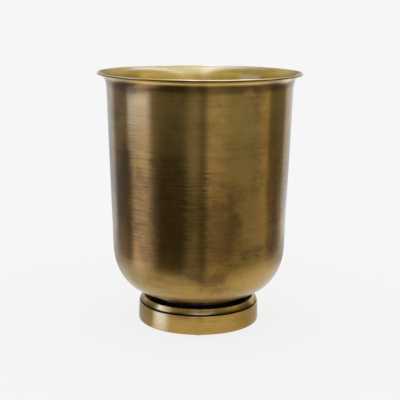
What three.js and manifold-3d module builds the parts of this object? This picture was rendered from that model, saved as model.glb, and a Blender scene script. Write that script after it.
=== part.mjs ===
import * as THREE from 'three';
import { mergeVertices } from 'three/addons/utils/BufferGeometryUtils.js';
import Module from 'manifold-3d';

// Garden urn: a spun brass bowl with a flared mouth, bolted through a black neck to a round foot.
// Millimetres, +Z up, origin on the floor under the middle of the foot.

// Sheet metal, fits and facets
const BOWL_SHEET = 1.4;
const FOOT_SHEET = 1.4;
const SEAT_GAP = 0.1; // paint film between pieces that bear on each other
const SLIDE_GAP = 0.25; // round fit of the cap's skirt inside the band
const HOLE_GAP = 0.5; // bolt holes over the bolt's shank
const THREAD_GAP = 0.15; // nut over the bolt's shank
const SPUN_FACETS = 48;
const TURNED_FACETS = 24;
const CORNER_STEPS = 10;
const FLARE_STEPS = 6;
const LIP_STEPS = 8;
const EDGE_STEPS = 4;

// Bowl, outer surface
const BOWL_HEIGHT = 262.1; // underside to the top of the lip
const FLOOR_RADIUS = 56.3; // flat underside
const CORNER_RUN = 46.2; // bottom corner is a quarter ellipse, this much out
const CORNER_RISE = 57.6; // and this much up
const WALL_LEAN = THREE.MathUtils.degToRad(2);
const FLARE_RADIUS = 13;
const FLARE_TURN = THREE.MathUtils.degToRad(68);
const LIP_RADIUS = 1.4; // rolled edge of the mouth

// Neck
const NECK_RADIUS = 57;
const NECK_EDGE = 1.5;
const NECK_SHOW = 5.4; // from the collar's top to the bowl's underside

// Foot cap: skirt, sloping collar, recess round the neck, deck
const RECESS_GAP = 8; // between neck and recess wall
const RECESS_FILLET = 2;
const COLLAR_FOLD = 1.3; // rounding of the collar's top
const COLLAR_LEAN = THREE.MathUtils.degToRad(31);
const COLLAR_RISE = 6.1; // seam to the collar's top
const COLLAR_EDGE = 0.7; // rounding of the collar's lower edge
const COLLAR_OVERHANG = 0.5; // collar's lower edge beyond the skirt
const DECK_HEIGHT = 16.6; // deck's underside above the band's lower edge

// Foot band
const BAND_HEIGHT = 21.8;
const BAND_DRAFT = 0.55; // the band is this much wider at its lower edge
const BAND_EDGE = 0.6; // rounding of the band's edges
const SEAM_HEIGHT = 1.6; // open seam between band and collar
const FLANGE_WIDTH = 18; // lower edge turned in under the foot

// Pads under the flange
const PAD_COUNT = 4;
const PAD_RADIUS = 6;
const PAD_THICKNESS = 1.2;

// Bolt through bowl, neck and deck
const BOLT_RADIUS = 4;
const HEX_SIDES = 6;
const HEX_ACROSS_FLATS = 13;
const HEX_CHAMFER = 0.7;
const HEAD_HEIGHT = 5.3;
const NUT_HEIGHT = 6.5;
const BOLT_END = 2.5; // thread that shows past the nut
const BOLT_END_CHAMFER = 0.8;
const HEAD_WASHER_RADIUS = 12;
const HEAD_WASHER_THICKNESS = 1.6;
const HEAD_SEAL_RADIUS = 15;
const HEAD_SEAL_THICKNESS = 2;
const DECK_WASHER_RADIUS = 15;
const DECK_WASHER_THICKNESS = 2;
const LOCK_WASHER_WIDTH = 3;
const LOCK_WASHER_THICKNESS = 2;
const LOCK_WASHER_SLIT = THREE.MathUtils.degToRad(14);

// Finishes
const brass = { color: 0xa88a52, roughness: 0.35, metalness: 1 };
const black = { color: 0x0d0c0c, roughness: 0.3, metalness: 0 };
const steel = { color: 0x9c9c98, roughness: 0.4, metalness: 1 };
const rubber = { color: 0x1c1c1c, roughness: 0.8, metalness: 0 };

// Heights of the seats, worked up from the floor
const bandBottom = PAD_THICKNESS + SEAT_GAP;
const bandTop = bandBottom + BAND_HEIGHT;
const seamTop = bandTop + SEAM_HEIGHT;
const collarTop = seamTop + COLLAR_RISE;
const deckBottom = bandBottom + DECK_HEIGHT;
const deckTop = deckBottom + FOOT_SHEET;
const bowlBottom = collarTop + NECK_SHOW;
const floorTop = bowlBottom + BOWL_SHEET;
const boltHole = BOLT_RADIUS + HOLE_GAP;

// Radii of the foot, worked out from the neck
const recessRadius = NECK_RADIUS + RECESS_GAP;
const foldCentre = new THREE.Vector2(recessRadius + COLLAR_FOLD, collarTop - COLLAR_FOLD);
const slopeTop = onCircle(foldCentre, COLLAR_FOLD, COLLAR_LEAN);
const collarRadius = slopeTop.x + (slopeTop.y - seamTop) * Math.tan(COLLAR_LEAN);
const skirtRadius = collarRadius - COLLAR_OVERHANG;
const bandTopRadius = skirtRadius + SLIDE_GAP + FOOT_SHEET;
const bandRadius = bandTopRadius + BAND_DRAFT;

function onCircle(centre, radius, angle) {
  return new THREE.Vector2(centre.x + radius * Math.cos(angle), centre.y + radius * Math.sin(angle));
}

// Points along an arc of an ellipse, both ends included.
function arc(centre, run, rise, from, to, steps) {
  const points = [];
  for (let step = 0; step <= steps; step += 1) {
    const angle = from + ((to - from) * step) / steps;
    points.push(new THREE.Vector2(centre.x + run * Math.cos(angle), centre.y + rise * Math.sin(angle)));
  }
  return points;
}

function roundArc(centre, radius, from, to, steps) {
  return arc(centre, radius, radius, from, to, steps);
}

// A closed outline of radius and height, outer side upwards, turned about the Z axis.
function spin(outline, facets) {
  const geometry = new THREE.LatheGeometry([...outline, outline[0]], facets);
  return geometry.rotateX(Math.PI / 2);
}

function ring(inner, outer, bottom, top, facets) {
  const outline = [
    new THREE.Vector2(inner, bottom),
    new THREE.Vector2(outer, bottom),
    new THREE.Vector2(outer, top),
    new THREE.Vector2(inner, top),
  ];
  return spin(outline, facets);
}

// Bowl

// One side of the bowl's sheet, from the flat floor to the lip, set in from the outer surface.
function bowlSide(inset) {
  const run = CORNER_RUN - inset;
  const rise = CORNER_RISE - inset;
  const cornerCentre = new THREE.Vector2(FLOOR_RADIUS, bowlBottom + CORNER_RISE);
  const cornerEnd = -Math.atan((Math.tan(WALL_LEAN) * rise) / run);
  const corner = arc(cornerCentre, run, rise, -Math.PI / 2, cornerEnd, CORNER_STEPS);
  const flareStart = Math.PI - WALL_LEAN;
  const flareEnd = flareStart - FLARE_TURN;
  const flare = roundArc(flareCentre(), FLARE_RADIUS + inset, flareStart, flareEnd, FLARE_STEPS);
  return [...corner, ...flare];
}

// The lip's centre sits past the end of the flare, on the middle of the sheet.
function lipOffset() {
  const end = Math.PI - WALL_LEAN - FLARE_TURN;
  const middle = FLARE_RADIUS + BOWL_SHEET / 2;
  const overrun = Math.sqrt(LIP_RADIUS ** 2 - (BOWL_SHEET / 2) ** 2);
  const across = middle * Math.cos(end) + overrun * Math.sin(end);
  const up = middle * Math.sin(end) - overrun * Math.cos(end);
  return new THREE.Vector2(across, up);
}

// The flare's centre lies outside the wall, so that the lip's top reaches the bowl's height.
function flareCentre() {
  const corner = Math.atan((Math.tan(WALL_LEAN) * CORNER_RISE) / CORNER_RUN);
  const wallFootRadius = FLOOR_RADIUS + CORNER_RUN * Math.cos(corner);
  const wallFootHeight = bowlBottom + CORNER_RISE - CORNER_RISE * Math.sin(corner);
  const centreHeight = bowlBottom + BOWL_HEIGHT - LIP_RADIUS - lipOffset().y;
  const wallTopHeight = centreHeight + FLARE_RADIUS * Math.sin(WALL_LEAN);
  const wallTopRadius = wallFootRadius + (wallTopHeight - wallFootHeight) * Math.tan(WALL_LEAN);
  return new THREE.Vector2(wallTopRadius + FLARE_RADIUS * Math.cos(WALL_LEAN), centreHeight);
}

function bowlGeometry() {
  const lipCentre = flareCentre().add(lipOffset());
  const lipHeading = Math.PI / 2 - WALL_LEAN - FLARE_TURN;
  const halfOpen = Math.asin(BOWL_SHEET / 2 / LIP_RADIUS);
  const lipStart = lipHeading + Math.PI + halfOpen;
  const lipEnd = lipHeading + 3 * Math.PI - halfOpen;
  const lip = roundArc(lipCentre, LIP_RADIUS, lipStart, lipEnd, LIP_STEPS);
  const outline = [
    new THREE.Vector2(boltHole, bowlBottom),
    ...bowlSide(0),
    ...lip.slice(1, -1),
    ...bowlSide(BOWL_SHEET).reverse(),
    new THREE.Vector2(boltHole, floorTop),
  ];
  return spin(outline, SPUN_FACETS);
}

// Neck

function neckGeometry() {
  const bottom = deckTop + SEAT_GAP;
  const top = bowlBottom - SEAT_GAP;
  const edge = NECK_RADIUS - NECK_EDGE;
  const outline = [
    new THREE.Vector2(boltHole, bottom),
    ...roundArc(new THREE.Vector2(edge, bottom + NECK_EDGE), NECK_EDGE, -Math.PI / 2, 0, EDGE_STEPS),
    ...roundArc(new THREE.Vector2(edge, top - NECK_EDGE), NECK_EDGE, 0, Math.PI / 2, EDGE_STEPS),
    new THREE.Vector2(boltHole, top),
  ];
  return spin(outline, SPUN_FACETS);
}

// Foot

function capGeometry() {
  const skirtBottom = bandBottom + FOOT_SHEET + SEAT_GAP;
  const skirtInner = skirtRadius - FOOT_SHEET;
  const wallBack = recessRadius + FOOT_SHEET;
  const edgeCentre = new THREE.Vector2(collarRadius - COLLAR_EDGE, seamTop + COLLAR_EDGE);
  const filletCentre = new THREE.Vector2(recessRadius - RECESS_FILLET, deckTop + RECESS_FILLET);
  const slopeBack = FOOT_SHEET / Math.cos(COLLAR_LEAN);
  const backTop = slopeTop.y - (wallBack - slopeTop.x + slopeBack) / Math.tan(COLLAR_LEAN);
  const backBottom = slopeTop.y - (skirtInner - slopeTop.x + slopeBack) / Math.tan(COLLAR_LEAN);
  const outline = [
    new THREE.Vector2(skirtInner, skirtBottom),
    new THREE.Vector2(skirtRadius, skirtBottom),
    new THREE.Vector2(skirtRadius, seamTop),
    ...roundArc(edgeCentre, COLLAR_EDGE, -Math.PI / 2, COLLAR_LEAN, EDGE_STEPS),
    ...roundArc(foldCentre, COLLAR_FOLD, COLLAR_LEAN, Math.PI, EDGE_STEPS),
    ...roundArc(filletCentre, RECESS_FILLET, 0, -Math.PI / 2, EDGE_STEPS),
    new THREE.Vector2(boltHole, deckTop),
    new THREE.Vector2(boltHole, deckBottom),
    ...roundArc(filletCentre, RECESS_FILLET + FOOT_SHEET, -Math.PI / 2, 0, EDGE_STEPS),
    new THREE.Vector2(wallBack, backTop),
    new THREE.Vector2(skirtInner, backBottom),
  ];
  return spin(outline, SPUN_FACETS);
}

function bandGeometry() {
  const flangeInner = bandRadius - FLANGE_WIDTH;
  const flangeTop = bandBottom + FOOT_SHEET;
  const lowCentre = new THREE.Vector2(bandRadius - BAND_EDGE, bandBottom + BAND_EDGE);
  const highCentre = new THREE.Vector2(bandTopRadius - BAND_EDGE, bandTop - BAND_EDGE);
  const outline = [
    new THREE.Vector2(flangeInner, bandBottom),
    ...roundArc(lowCentre, BAND_EDGE, -Math.PI / 2, 0, EDGE_STEPS),
    ...roundArc(highCentre, BAND_EDGE, 0, Math.PI / 2, EDGE_STEPS),
    new THREE.Vector2(bandTopRadius - FOOT_SHEET, bandTop),
    new THREE.Vector2(bandRadius - FOOT_SHEET, flangeTop),
    new THREE.Vector2(flangeInner, flangeTop),
  ];
  return spin(outline, SPUN_FACETS);
}

function padGeometry() {
  const geometry = new THREE.CylinderGeometry(PAD_RADIUS, PAD_RADIUS, PAD_THICKNESS, TURNED_FACETS);
  return geometry.rotateX(Math.PI / 2);
}

// Bolt, nut and washers, stacked from the bowl's floor upwards and from the deck downwards

const sealBottom = floorTop + SEAT_GAP;
const sealTop = sealBottom + HEAD_SEAL_THICKNESS;
const headWasherBottom = sealTop + SEAT_GAP;
const headWasherTop = headWasherBottom + HEAD_WASHER_THICKNESS;
const headBottom = headWasherTop + SEAT_GAP;
const deckWasherTop = deckBottom - SEAT_GAP;
const deckWasherBottom = deckWasherTop - DECK_WASHER_THICKNESS;
const lockWasherTop = deckWasherBottom - SEAT_GAP;
const lockWasherBottom = lockWasherTop - LOCK_WASHER_THICKNESS;
const nutTop = lockWasherBottom - SEAT_GAP;
const nutBottom = nutTop - NUT_HEIGHT;
const boltBottom = nutBottom - BOLT_END;

const manifold = await Module();
manifold.setup();

function toSolid(geometry) {
  const bare = geometry.clone();
  bare.deleteAttribute('normal');
  bare.deleteAttribute('uv');
  const merged = mergeVertices(bare);
  const mesh = new manifold.Mesh({
    numProp: 3,
    vertProperties: new Float32Array(merged.attributes.position.array),
    triVerts: new Uint32Array(merged.index.array),
  });
  return new manifold.Manifold(mesh);
}

function toGeometry(solid) {
  const mesh = solid.getMesh();
  const geometry = new THREE.BufferGeometry();
  geometry.setAttribute('position', new THREE.BufferAttribute(mesh.vertProperties, 3));
  geometry.setIndex(new THREE.BufferAttribute(mesh.triVerts, 1));
  geometry.computeVertexNormals();
  return geometry;
}

// A hexagon prism whose corners are turned off at its upper end, and at its lower end where asked.
function hexSolid(bottom, height, turnLowerEnd) {
  const flat = HEX_ACROSS_FLATS / 2;
  const corner = flat / Math.cos(Math.PI / HEX_SIDES);
  const middle = new THREE.Vector2(0, 0);
  const corners = [];
  for (let side = 0; side < HEX_SIDES; side += 1) {
    corners.push(onCircle(middle, corner, (2 * Math.PI * side) / HEX_SIDES));
  }
  const prism = new THREE.ExtrudeGeometry(new THREE.Shape(corners), { depth: height, bevelEnabled: false });
  prism.translate(0, 0, bottom);
  const top = bottom + height;
  const blankRadius = corner + HEX_CHAMFER;
  const plainEnd = [new THREE.Vector2(blankRadius, bottom)];
  const turnedEnd = [new THREE.Vector2(flat, bottom), new THREE.Vector2(blankRadius, bottom + HEX_CHAMFER)];
  const turned = [
    new THREE.Vector2(0, bottom),
    ...(turnLowerEnd ? turnedEnd : plainEnd),
    new THREE.Vector2(blankRadius, top - HEX_CHAMFER),
    new THREE.Vector2(flat, top),
    new THREE.Vector2(0, top),
  ];
  const blank = new THREE.LatheGeometry(turned, TURNED_FACETS).rotateX(Math.PI / 2);
  return toSolid(prism).intersect(toSolid(blank));
}

function boltGeometry() {
  const shank = [
    new THREE.Vector2(0, boltBottom),
    new THREE.Vector2(BOLT_RADIUS - BOLT_END_CHAMFER, boltBottom),
    new THREE.Vector2(BOLT_RADIUS, boltBottom + BOLT_END_CHAMFER),
    new THREE.Vector2(BOLT_RADIUS, headBottom + HEAD_HEIGHT / 2),
    new THREE.Vector2(0, headBottom + HEAD_HEIGHT / 2),
  ];
  const turned = new THREE.LatheGeometry(shank, TURNED_FACETS).rotateX(Math.PI / 2);
  return toGeometry(hexSolid(headBottom, HEAD_HEIGHT, false).add(toSolid(turned)));
}

function nutGeometry() {
  const bore = new THREE.CylinderGeometry(
    BOLT_RADIUS + THREAD_GAP,
    BOLT_RADIUS + THREAD_GAP,
    2 * NUT_HEIGHT,
    TURNED_FACETS,
  );
  bore.rotateX(Math.PI / 2);
  bore.translate(0, 0, (nutTop + nutBottom) / 2);
  return toGeometry(hexSolid(nutBottom, NUT_HEIGHT, true).subtract(toSolid(bore)));
}

// A flat spring ring, cut through on one side.
function lockWasherGeometry() {
  const half = LOCK_WASHER_SLIT / 2;
  const outer = boltHole + LOCK_WASHER_WIDTH;
  const shape = new THREE.Shape();
  shape.absarc(0, 0, outer, half, 2 * Math.PI - half, false);
  shape.absarc(0, 0, boltHole, 2 * Math.PI - half, half, true);
  shape.closePath();
  const geometry = new THREE.ExtrudeGeometry(shape, {
    depth: LOCK_WASHER_THICKNESS,
    bevelEnabled: false,
    curveSegments: TURNED_FACETS,
  });
  return geometry.translate(0, 0, lockWasherBottom);
}

// Assembly

const urn = new THREE.Group();
urn.name = 'garden_urn';

function place(name, geometry, finish) {
  const mesh = new THREE.Mesh(geometry, new THREE.MeshStandardMaterial(finish));
  mesh.name = name;
  urn.add(mesh);
  return mesh;
}

place('bowl', bowlGeometry(), brass);
place('neck_spacer', neckGeometry(), black);
place('foot_cap', capGeometry(), brass);
place('foot_band', bandGeometry(), brass);

const sealGeometry = ring(boltHole, HEAD_SEAL_RADIUS, sealBottom, sealTop, TURNED_FACETS);
place('head_seal', sealGeometry, rubber);
const headWasherGeometry = ring(boltHole, HEAD_WASHER_RADIUS, headWasherBottom, headWasherTop, TURNED_FACETS);
place('head_washer', headWasherGeometry, steel);
const deckWasherGeometry = ring(boltHole, DECK_WASHER_RADIUS, deckWasherBottom, deckWasherTop, TURNED_FACETS);
place('deck_washer', deckWasherGeometry, steel);
place('lock_washer', lockWasherGeometry(), steel);
place('clamp_nut', nutGeometry(), steel);
place('clamp_bolt', boltGeometry(), steel);

const padCircle = bandRadius - FLANGE_WIDTH / 2;
for (let index = 0; index < PAD_COUNT; index += 1) {
  const pad = place(`foot_pad_${index + 1}`, padGeometry(), rubber);
  const angle = (2 * Math.PI * index) / PAD_COUNT;
  pad.position.set(padCircle * Math.cos(angle), padCircle * Math.sin(angle), PAD_THICKNESS / 2);
}

export default urn;
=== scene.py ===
import math

import bmesh
import bpy
from mathutils import Matrix, Vector


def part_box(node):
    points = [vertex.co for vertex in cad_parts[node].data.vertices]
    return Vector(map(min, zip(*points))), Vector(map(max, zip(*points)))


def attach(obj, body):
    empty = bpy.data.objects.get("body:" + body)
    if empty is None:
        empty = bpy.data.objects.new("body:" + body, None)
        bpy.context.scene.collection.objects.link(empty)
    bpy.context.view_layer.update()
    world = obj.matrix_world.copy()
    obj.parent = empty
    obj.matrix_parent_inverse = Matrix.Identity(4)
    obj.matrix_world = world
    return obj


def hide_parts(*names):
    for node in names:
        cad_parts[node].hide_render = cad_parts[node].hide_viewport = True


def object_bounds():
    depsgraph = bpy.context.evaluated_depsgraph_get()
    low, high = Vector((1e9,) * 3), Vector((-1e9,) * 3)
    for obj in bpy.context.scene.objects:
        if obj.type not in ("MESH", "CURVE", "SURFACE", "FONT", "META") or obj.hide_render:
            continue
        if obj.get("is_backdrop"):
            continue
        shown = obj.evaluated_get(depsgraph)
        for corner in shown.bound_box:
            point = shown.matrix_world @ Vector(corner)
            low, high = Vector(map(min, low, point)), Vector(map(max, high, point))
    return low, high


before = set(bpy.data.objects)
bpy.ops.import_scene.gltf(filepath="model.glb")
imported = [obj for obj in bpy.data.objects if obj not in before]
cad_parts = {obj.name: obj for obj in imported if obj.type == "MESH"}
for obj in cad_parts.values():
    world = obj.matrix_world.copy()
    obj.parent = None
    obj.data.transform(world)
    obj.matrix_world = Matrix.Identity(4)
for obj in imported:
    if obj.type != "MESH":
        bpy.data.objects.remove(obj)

cad_low, cad_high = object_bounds()

# Garden urn: spun antique-brass bowl on a black neck and a round banded foot.
# Metres, +Z up, the camera's side is -Y.

MM = 0.001
QUARTER = math.pi / 2

# Facets and steps of the fine meshes
SPUN_FACETS = 192
TURNED_FACETS = 64
PAD_FACETS = 48
CORNER_STEPS = 32
WALL_STEPS = 28
FLARE_STEPS = 14
ONSET_STEPS = 6
LIP_STEPS = 20
EDGE_STEPS = 6
SLOPE_STEPS = 8
HEX_FACETS = 3 * TURNED_FACETS
SMOOTH_ANGLE = math.radians(40)
MERGE_DISTANCE = 1e-6

# Bowl
SHEET = 1.4 * MM
FLOOR_RADIUS = 56.3 * MM
CORNER_RUN = 46.2 * MM
CORNER_RISE = 57.6 * MM
WALL_LEAN = math.radians(2)
FLARE_RADIUS = 12.3 * MM
FLARE_TURN = math.radians(71)
FLARE_ONSET_RADIUS = 60 * MM  # the flare sets in gently, over the first few degrees of its turn
FLARE_ONSET_TURN = math.radians(8)
LIP_RADIUS = 1.1 * MM
BOLT_HOLE = 4.5 * MM

# Neck and foot
NECK_EDGE = 1.5 * MM
NECK_SHOULDER = (1.6 * MM, 4.5 * MM)  # how far the top of the neck draws in, and over what height
RECESS_GAP = 8 * MM
RECESS_FILLET = 2 * MM
COLLAR_FOLD = 1.3 * MM
COLLAR_LEAN = math.radians(31)
COLLAR_EDGE = 0.7 * MM
COLLAR_OVERHANG = 0.5 * MM
SEAM_HEIGHT = 1.6 * MM
BAND_DRAFT = 0.55 * MM
BAND_EDGE = 0.8 * MM
FLANGE_WIDTH = 18 * MM
SLIDE_GAP = 0.25 * MM
DECK_GAP = 0.1 * MM

# Fastener
HEX_TURN = math.pi / 3
HEX_SLOPE = math.radians(30)
HEX_FACE = 0.97  # share of the width over the flats that a flat face takes
HEAD_FACE = 0.95
HEAD_EDGE = 0.1 * MM
WASHER_EDGE = 0.25 * MM
SEAL_EDGE = 0.5 * MM
PAD_EDGE = 0.4 * MM
PAD_COUNT = 4
LOCK_SLIT = math.radians(14)
LOCK_STEPS = 60
BOLT_RADIUS = 4 * MM
HEAD_HEIGHT = 5.3 * MM
THREAD_PITCH = 1.25 * MM
THREAD_DEPTH = 0.65 * MM
THREAD_LENGTH = 15 * MM
THREAD_STEPS = 8
THREAD_FADE = 3 * THREAD_PITCH
THREAD_RUNOUT = 1.0 * MM
NUT_BORE = 4.15 * MM
BORE_CHAMFER = 0.5 * MM

# Finishes
METAL = (0.385, 0.238, 0.056)
BROWN = (0.122, 0.067, 0.0105)
BRIGHT = (0.97, 0.66, 0.17)
BRIGHT_FOOT = (0.98, 0.79, 0.34)
METAL_INSIDE = (0.685, 0.48, 0.112)
BROWN_INSIDE = (0.48, 0.33, 0.072)
METAL_FOOT = (0.43, 0.252, 0.061)
BROWN_FOOT = (0.20, 0.132, 0.022)
METAL_COLLAR = (0.47, 0.325, 0.070)
BROWN_COLLAR = (0.225, 0.147, 0.022)
# near-black for the foot's dark seam and recess, and for painted shade under the lip and up the collar
GRIME_AND_SHADE = (0.020, 0.011, 0.004)
OLIVE_TINT = (0.95, 1.0, 0.86)
RUDDY_TINT = (1.03, 0.95, 0.94)
BLUSH_TINT = (1.0, 0.86, 0.55)
STROKE_WAVER = 0.18
BRUSHING = 0.9
BRUSHED_ROUND = 0.25  # the brushing runs across the tangent, a quarter turn from it
LACQUER_ROUGHNESS = 0.14
FOOT_BRUSHED = 0.4
BLACK_PAINT = (0.006, 0.0055, 0.006)
BLACK_DUST = (0.016, 0.014, 0.013)
BLACK_SHEEN = (1.0, 0.74, 0.48)
ZINC = (0.50, 0.50, 0.49)
ZINC_WARM = (0.57, 0.55, 0.49)
RUBBER = (0.014, 0.014, 0.014)
RUBBER_BLOOM = (0.030, 0.030, 0.029)

# Places of wear, browning and clouding: degrees round from the camera's side to the right, and reach
FLARE_BROWNED = ((-47, 17), (48, 17), (128, 40), (-140, 36))
CURVE_WORN = ((48, 40), (165, 60))
ONSET_WORN = ((-36, 12), (110, 14))
COLLAR_CLEAN = ((2, 22), (95, 40), (178, 50), (-110, 30))
# the collar's less browned and brighter places at -36 degrees lie under the softbox's reflection: partly
# a painted highlight
COLLAR_WORN_AND_HIGHLIGHT = ((-36, 22), (68, 16), (140, 30), (-150, 34))
COLLAR_WEAR_AND_HIGHLIGHT = ((-36, 17), (140, 30))
BAND_BROWNED = ((-78, 45), (66, 40), (150, 50))
WARM_BROWN = ((17, 27), (150, 60))
CLOUDED = ((38, 42), (-165, 60))

# Bands of wear and browning round the bowl: share, height and reach; on the flare, height over its centre
FLARE_WEAR = (0.78, 10.2 * MM, 5 * MM)
ONSET_WEAR = (0.13, 271 * MM, 7 * MM)
CURVE_WEAR = (0.12, 70 * MM, 26 * MM)
FLARE_BROWNING = (0.65, 3 * MM, 6.5 * MM)
WALL_BROWNING = (0.20, 140 * MM, 80 * MM)
CURVE_BROWNING = (0.34, 66 * MM, 18 * MM)
FLARE_WEAR_LOST = 0.9
CURVE_BROWNING_LOST = 0.8
LIP_WEAR_REACH = 1.0 * MM
LIP_WEAR_RISE = 0.5 * MM
LIP_WEAR_EASE = 0.6 * MM
# darkening under the lip: a painted shadow
LIP_PAINTED_SHADOW = 0.8

# The wall's browning ends on the lower curve, at an edge that dips near the front
BROWN_WALL = 0.45
BROWN_EDGE = 94 * MM
BROWN_EDGE_EASE = 8 * MM
BROWN_EDGE_DIP = 17 * MM
DIP_MIDDLE = math.radians(4)
DIP_REACH = math.radians(32)

# Changes down the bowl: height and reach, then how much
BLUSH_BELOW = (130 * MM, 130 * MM)
BLUSH_LOST_BELOW = (80 * MM, 20 * MM)
BLUSH = 0.45
BLUSH_WARM = 0.5
BLUSH_LOST = 0.2
CLOUDED_BELOW = (165 * MM, 50 * MM)
CURVE_CLOUDED_BELOW = (85 * MM, 15 * MM)
CURVE_CLOUDED = 0.5
UNBRUSHED_ABOVE = (270 * MM, 70 * MM)
UNBRUSHED_BELOW = (65 * MM, 35 * MM)
UNBRUSHED_TOP = 0.8
UNBRUSHED_CURVE = 0.45
UNBRUSHED_CLOUD = 0.6
INSIDE_TILT = 0.5  # faces that look up more than this belong to the inside

# Wear, browning, dirt and painted shade on the foot
COLLAR_TOP_REACH = 1.0 * MM
COLLAR_BOTTOM_REACH = 0.5 * MM
COLLAR_TOP_WEAR = 0.25
COLLAR_TOP_CLEAN = 0.75
COLLAR_BOTTOM_WEAR = 0.6
COLLAR_SLOPE_WEAR = 0.04
COLLAR_SLOPE_WEAR_AND_HIGHLIGHT = 0.22
COLLAR_BROWNING_LOST = 0.8
FOLD_GRIMY = 0.4
SEAM_GRIME_REACH = 0.3 * MM
# a painted shadow reaches up the collar from the seam: its darkness, then its reach at least, where worn,
# and where neither clean nor worn
SHADOW_CREEP = 0.85
SHADOW_CREEP_LEAST = 0.3 * MM
SHADOW_CREEP_WORN = 1.0 * MM
SHADOW_CREEP_MOST = 3.6 * MM
BAND_WEAR = 0.5
BAND_WEAR_REACH = 1.0 * MM
BAND_BROWNING_LEAST = 0.05
BAND_BROWNING = 0.55
BAND_BROWNING_REACH = 14 * MM

# Browned patches on the bowl: degrees round, then height, half width and half height in millimetres, then
# how much more or less browned
PATCHES = (
    (-17, 165, 36, 85, 0.95),
    (-51, 196, 15, 42, 0.9),
    (-58, 160, 18, 50, 0.5),
    (6, 165, 40, 70, 0.3),
    (15, 130, 30, 44, 0.6),
    (38, 143, 31, 44, -1.0),
    (58, 107, 30, 23, 0.34),
    (44, 104, 44, 18, 0.22),
    # less browned under the flare where the fill card's reflection runs down: partly a painted highlight
    (29, 285, 14, 8, -0.6),
    (28, 196, 28, 28, -0.45),
    (12, 240, 20, 26, 0.3),
    (-42, 283, 36, 5, 0.7),
    (-45, 253, 30, 33, -0.9),
    (-38, 257, 12, 5, 0.35),
    (-29, 207, 9, 22, 0.35),
    (4, 75, 40, 12, 0.75),
    (-39, 190, 16, 22, 0.3),
    (50, 74, 40, 16, -0.5),
    (-30, 72, 40, 7, 0.35),
    (-37, 100, 14, 14, 0.3),
    (72, 150, 26, 60, 0.3),
    (-95, 120, 30, 40, 0.2),
    (118, 150, 40, 50, 0.35),
    (-150, 110, 50, 40, 0.4),
    (170, 190, 36, 60, 0.3),
)

# Camera, found from the urn's outline in the 400 by 400 photograph
PHOTO_WIDTH = 400
FOCAL_PIXELS = 972.3
AXIS_PIXEL = 199.05
SENSOR_WIDTH = 36.0
CAMERA_DISTANCE = 1.140
CAMERA_HEIGHT = 0.3800
CAMERA_PITCH = math.radians(11.616)
CAMERA_ROLL = math.radians(0.422)

# Stage
FLOOR_TONE = 0.921
FLOOR_EVENNESS = 0.87  # share of the floor's tone that the urn's shadow doesn't reach
FLOOR_SIZE = 14.0
TENT_FACETS = 96
TENT_EYE = 0.17  # height from which the tent's elevations are measured


def arc(centre, run, rise, start, end, steps):
    """Points along an arc of an ellipse, both ends included."""
    points = []
    for step in range(steps + 1):
        angle = start + (end - start) * step / steps
        points.append((centre[0] + run * math.cos(angle), centre[1] + rise * math.sin(angle)))
    return points


def round_arc(centre, radius, start, end, steps):
    return arc(centre, radius, radius, start, end, steps)


def between(first, last, steps):
    """Points on a straight line, without its ends."""
    points = []
    for step in range(1, steps):
        part = step / steps
        points.append(tuple(a + (b - a) * part for a, b in zip(first, last)))
    return points


def rounded_ring(inner, outer, bottom, top, edge):
    """Outline of a flat ring with rounded outer and inner edges."""
    return [
        *round_arc((outer - edge, bottom + edge), edge, -QUARTER, 0, EDGE_STEPS),
        *round_arc((outer - edge, top - edge), edge, 0, QUARTER, EDGE_STEPS),
        *round_arc((inner + edge, top - edge), edge, QUARTER, 2 * QUARTER, EDGE_STEPS),
        *round_arc((inner + edge, bottom + edge), edge, 2 * QUARTER, 3 * QUARTER, EDGE_STEPS),
    ]


def turned(outline, facets, centre=(0.0, 0.0)):
    """Rings of points for an outline of radius and height turned about an upright axis."""
    rings = []
    for radius, height in outline:
        ring = []
        for facet in range(facets):
            angle = 2 * math.pi * facet / facets
            across = centre[0] + radius * math.cos(angle)
            ring.append((across, centre[1] + radius * math.sin(angle), height))
        rings.append(ring)
    return rings


def skin(name, rings, closed=True, capped=False):
    """A mesh object over rings of points; rings that shrink to a point become its poles."""
    shape = bmesh.new()
    corners = [[shape.verts.new(point) for point in ring] for ring in rings]
    count = len(rings[0])
    spans = len(rings) if closed else len(rings) - 1
    for span in range(spans):
        low = corners[span]
        high = corners[(span + 1) % len(rings)]
        for facet in range(count):
            after = (facet + 1) % count
            shape.faces.new((low[facet], low[after], high[after], high[facet]))
    if capped:
        shape.faces.new(corners[0])
        shape.faces.new(corners[-1])
    bmesh.ops.remove_doubles(shape, verts=shape.verts, dist=MERGE_DISTANCE)
    bmesh.ops.recalc_face_normals(shape, faces=shape.faces)
    mesh = bpy.data.meshes.new(name)
    shape.to_mesh(mesh)
    shape.free()
    mesh.shade_smooth()
    mesh.set_sharp_from_angle(angle=SMOOTH_ANGLE)
    piece = bpy.data.objects.new(name, mesh)
    bpy.context.scene.collection.objects.link(piece)
    return piece


def dress(piece, node, slot, *materials):
    """Puts a piece on the urn's body in place of its node, with its finish."""
    for material in materials:
        piece.data.materials.append(material)
    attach(piece, "root")
    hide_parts(node)


def mark(piece, name, amount):
    """Stores an amount from 0 to 1 for each point of a piece."""
    layer = piece.data.attributes.new(name, "FLOAT", "POINT")
    for point, stored in zip(piece.data.vertices, layer.data):
        stored.value = min(max(amount(point.co), 0.0), 1.0)


def fall(distance, reach):
    """1 at no distance, easing to 0 at the reach."""
    part = min(max(1 - distance / reach, 0.0), 1.0)
    return part * part * (3 - 2 * part)


def near(point, places):
    """1 in the middle of a place round the urn, easing to 0; places are degrees and their reach."""
    around = math.atan2(point.x, -point.y)
    amounts = []
    for degrees, reach in places:
        turn = math.remainder(around - math.radians(degrees), 2 * math.pi)
        amounts.append(fall(abs(turn), math.radians(reach)))
    return max(amounts)


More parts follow.
